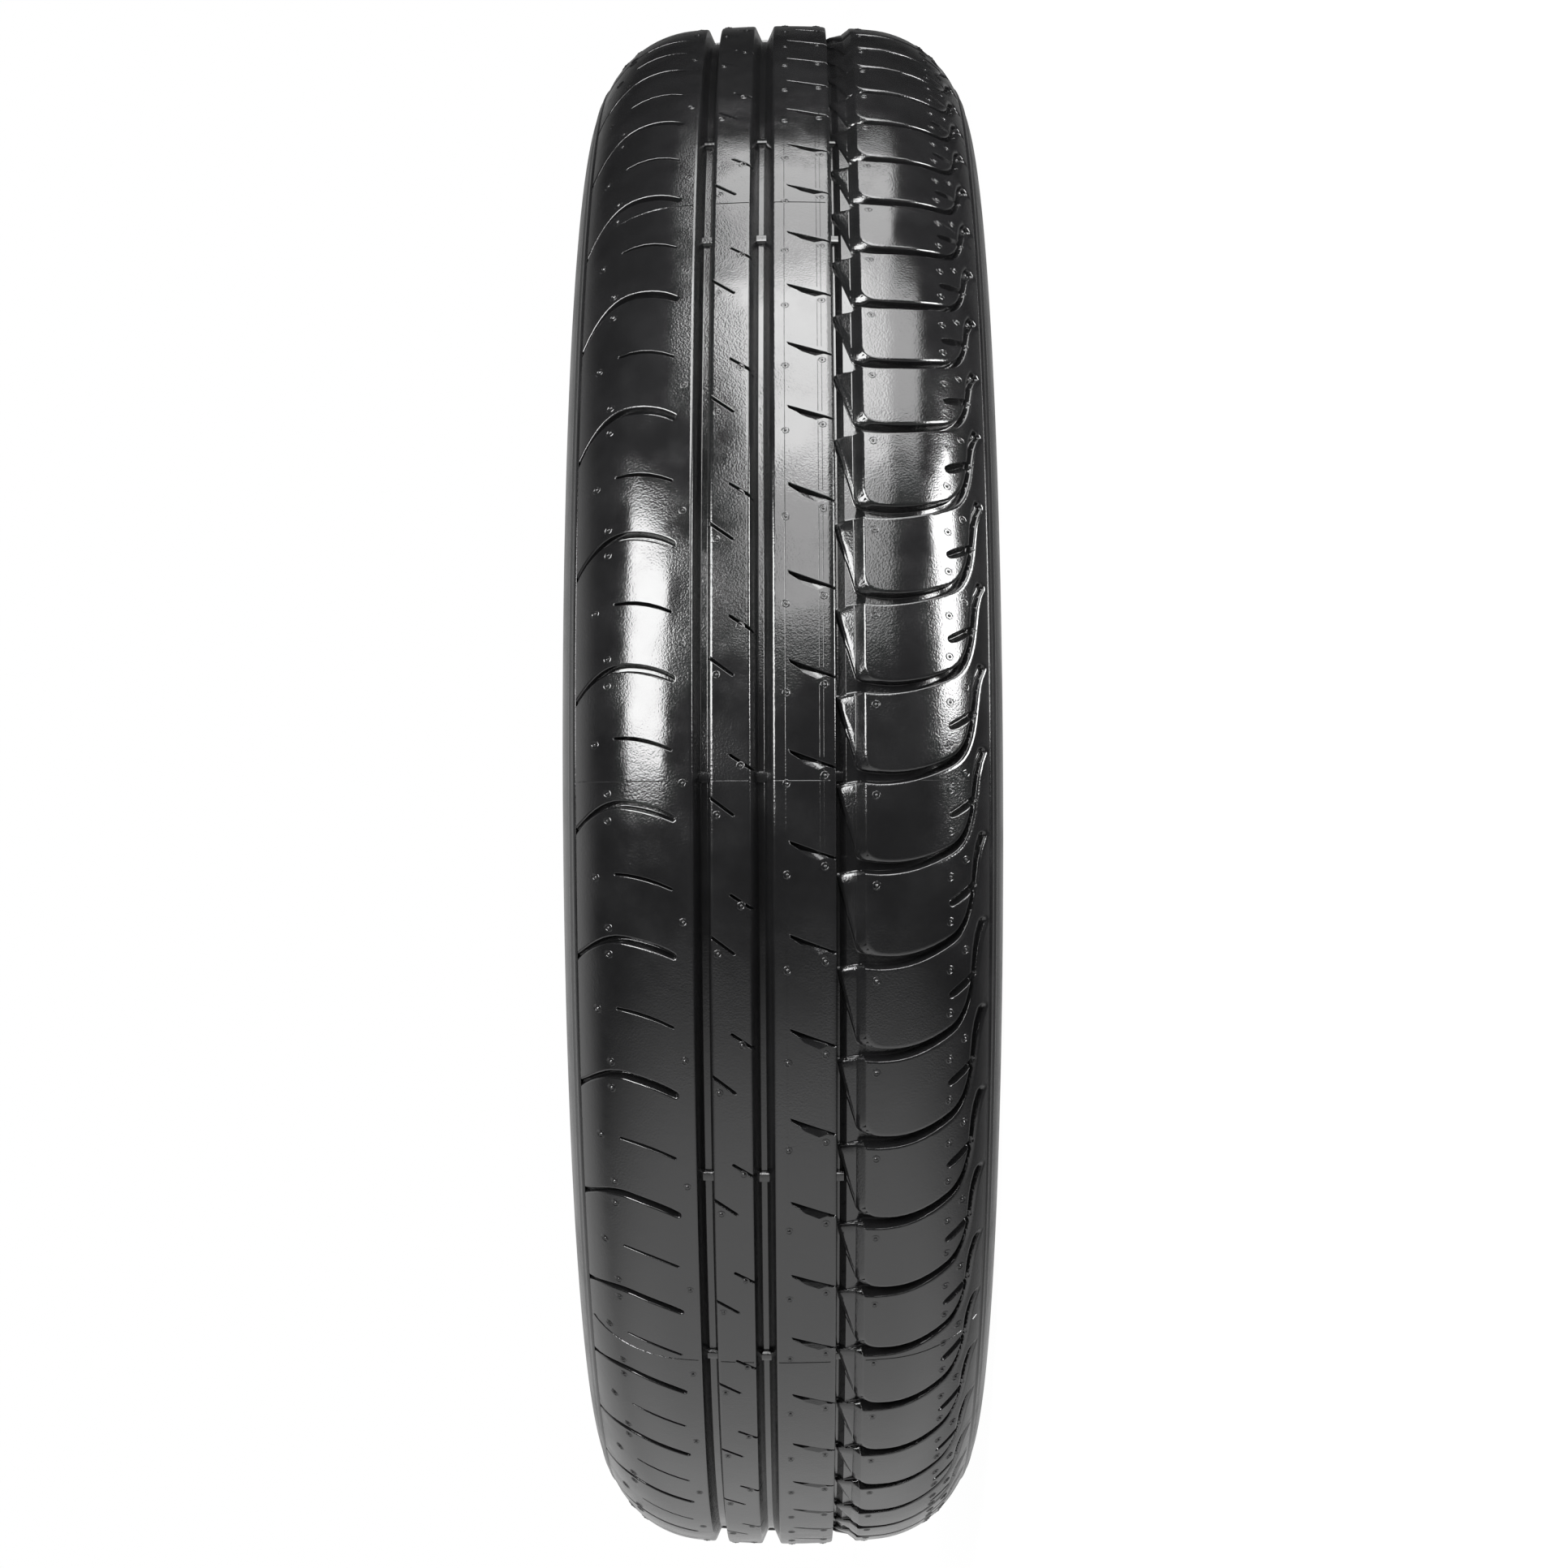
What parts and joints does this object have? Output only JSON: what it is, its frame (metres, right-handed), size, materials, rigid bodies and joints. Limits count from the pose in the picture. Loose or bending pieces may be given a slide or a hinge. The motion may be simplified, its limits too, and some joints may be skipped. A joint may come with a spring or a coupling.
{
  "type": "car tyre",
  "caption": "Tall, narrow road tyre with an open air chamber, two bead seats and an asymmetric moulded tread of ribs, lateral grooves and sipes.",
  "frame": {"origin": "centre of the tyre, on its axis, halfway between the two sidewalls", "axes": "+Z along the axis of rotation, towards the side of the tread with the curved grooves, so that the tyre lies on the sidewall next to the lateral grooves; -Y points at the strip of tread with the first mould seam"},
  "size_m": [0.7, 0.7, 0.166],
  "materials": {
    "rubber": "glossy new rubber"
  },
  "bodies": {
    "root": {"tyre": "rubber"}
  },
  "joints": []
}
